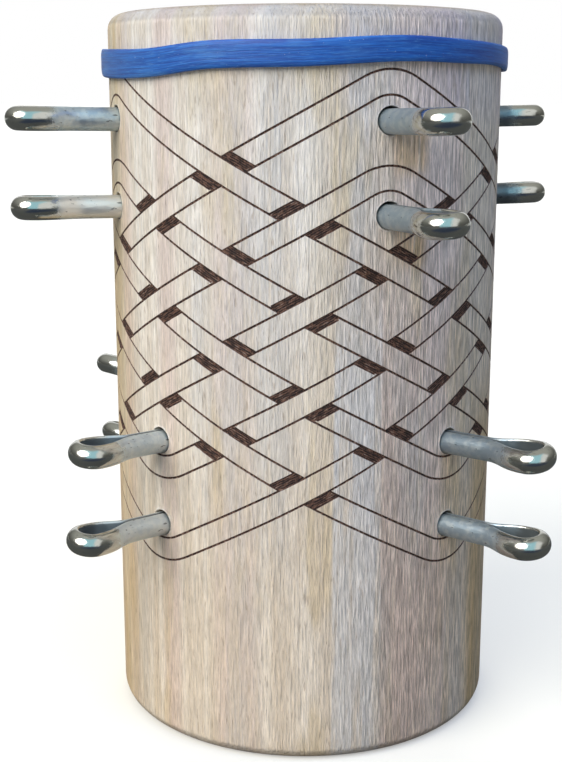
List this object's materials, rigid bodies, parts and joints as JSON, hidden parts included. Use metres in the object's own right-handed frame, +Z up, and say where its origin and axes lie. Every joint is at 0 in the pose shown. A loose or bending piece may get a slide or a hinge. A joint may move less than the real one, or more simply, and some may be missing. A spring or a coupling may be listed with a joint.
{
  "type": "globe knot jig",
  "caption": "Upright wooden mandrel with rings of split pins round both ends, a burnt lattice guide for weaving a cord globe knot, and a rubber band.",
  "frame": {"origin": "centre of the mandrel's flat base", "axes": "+Z up the mandrel's axis, -Y towards the viewer of the picture and +X to that viewer's right"},
  "size_m": [0.0888, 0.093, 0.115],
  "materials": {
    "maple": "sanded bare wood with a burnt lattice",
    "zinc_steel": "bright zinc plate, scuffed on the shanks",
    "blue_rubber": "matt stretched rubber with fine lengthwise streaks"
  },
  "bodies": {
    "mandrel": {"mandrel": "maple"},
    "top_outer_pin_1": {"top_outer_pin_1": "zinc_steel"},
    "top_outer_pin_2": {"top_outer_pin_2": "zinc_steel"},
    "top_outer_pin_3": {"top_outer_pin_3": "zinc_steel"},
    "top_outer_pin_4": {"top_outer_pin_4": "zinc_steel"},
    "top_inner_pin_1": {"top_inner_pin_1": "zinc_steel"},
    "top_inner_pin_2": {"top_inner_pin_2": "zinc_steel"},
    "top_inner_pin_3": {"top_inner_pin_3": "zinc_steel"},
    "top_inner_pin_4": {"top_inner_pin_4": "zinc_steel"},
    "base_inner_pin_1": {"base_inner_pin_1": "zinc_steel"},
    "base_inner_pin_2": {"base_inner_pin_2": "zinc_steel"},
    "base_inner_pin_3": {"base_inner_pin_3": "zinc_steel"},
    "base_inner_pin_4": {"base_inner_pin_4": "zinc_steel"},
    "base_outer_pin_1": {"base_outer_pin_1": "zinc_steel"},
    "base_outer_pin_2": {"base_outer_pin_2": "zinc_steel"},
    "base_outer_pin_3": {"base_outer_pin_3": "zinc_steel"},
    "base_outer_pin_4": {"base_outer_pin_4": "zinc_steel"},
    "rubber_band": {"rubber_band": "blue_rubber"}
  },
  "joints": [
    {"name": "top_outer_pin_1_slide", "type": "slide", "parent": "mandrel", "child": "top_outer_pin_1", "axis": [0.3826, -0.9237, 0.0175], "range_m": [-0.0064, 0.0143]},
    {"name": "top_outer_pin_2_slide", "type": "slide", "parent": "mandrel", "child": "top_outer_pin_2", "axis": [0.9237, 0.3826, 0.0175], "range_m": [-0.0012, 0.0195]},
    {"name": "top_outer_pin_3_slide", "type": "slide", "parent": "mandrel", "child": "top_outer_pin_3", "axis": [-0.3826, 0.9237, 0.0175], "range_m": [-0.0037, 0.017]},
    {"name": "top_outer_pin_4_slide", "type": "slide", "parent": "mandrel", "child": "top_outer_pin_4", "axis": [-0.9237, -0.3826, 0.0175], "range_m": [-0.0045, 0.0162]},
    {"name": "top_inner_pin_1_slide", "type": "slide", "parent": "mandrel", "child": "top_inner_pin_1", "axis": [0.3826, -0.9237, 0.0175], "range_m": [-0.0068, 0.0139]},
    {"name": "top_inner_pin_2_slide", "type": "slide", "parent": "mandrel", "child": "top_inner_pin_2", "axis": [0.9237, 0.3826, 0.0175], "range_m": [-0.002, 0.0187]},
    {"name": "top_inner_pin_3_slide", "type": "slide", "parent": "mandrel", "child": "top_inner_pin_3", "axis": [-0.3826, 0.9237, 0.0175], "range_m": [-0.0042, 0.0165]},
    {"name": "top_inner_pin_4_slide", "type": "slide", "parent": "mandrel", "child": "top_inner_pin_4", "axis": [-0.9237, -0.3826, 0.0175], "range_m": [-0.0042, 0.0165]},
    {"name": "base_inner_pin_1_slide", "type": "slide", "parent": "mandrel", "child": "base_inner_pin_1", "axis": [0.7064, -0.7064, 0.0436], "range_m": [-0.0064, 0.0143]},
    {"name": "base_inner_pin_2_slide", "type": "slide", "parent": "mandrel", "child": "base_inner_pin_2", "axis": [0.7064, 0.7064, 0.0436], "range_m": [-0.004, 0.0167]},
    {"name": "base_inner_pin_3_slide", "type": "slide", "parent": "mandrel", "child": "base_inner_pin_3", "axis": [-0.7597, 0.6488, 0.0436], "range_m": [-0.0077, 0.013]},
    {"name": "base_inner_pin_4_slide", "type": "slide", "parent": "mandrel", "child": "base_inner_pin_4", "axis": [-0.7064, -0.7064, 0.0436], "range_m": [-0.0038, 0.0169]},
    {"name": "base_outer_pin_1_slide", "type": "slide", "parent": "mandrel", "child": "base_outer_pin_1", "axis": [0.7064, -0.7064, 0.0436], "range_m": [-0.0062, 0.0145]},
    {"name": "base_outer_pin_2_slide", "type": "slide", "parent": "mandrel", "child": "base_outer_pin_2", "axis": [0.7064, 0.7064, 0.0436], "range_m": [-0.0044, 0.0163]},
    {"name": "base_outer_pin_3_slide", "type": "slide", "parent": "mandrel", "child": "base_outer_pin_3", "axis": [-0.7597, 0.6488, 0.0436], "range_m": [-0.0067, 0.014]},
    {"name": "base_outer_pin_4_slide", "type": "slide", "parent": "mandrel", "child": "base_outer_pin_4", "axis": [-0.7064, -0.7064, 0.0436], "range_m": [-0.0047, 0.016]},
    {"name": "rubber_band_slide", "type": "slide", "parent": "mandrel", "child": "rubber_band", "axis": [0, 0, 1], "range_m": [-0.0042, 0.0105]}
  ]
}
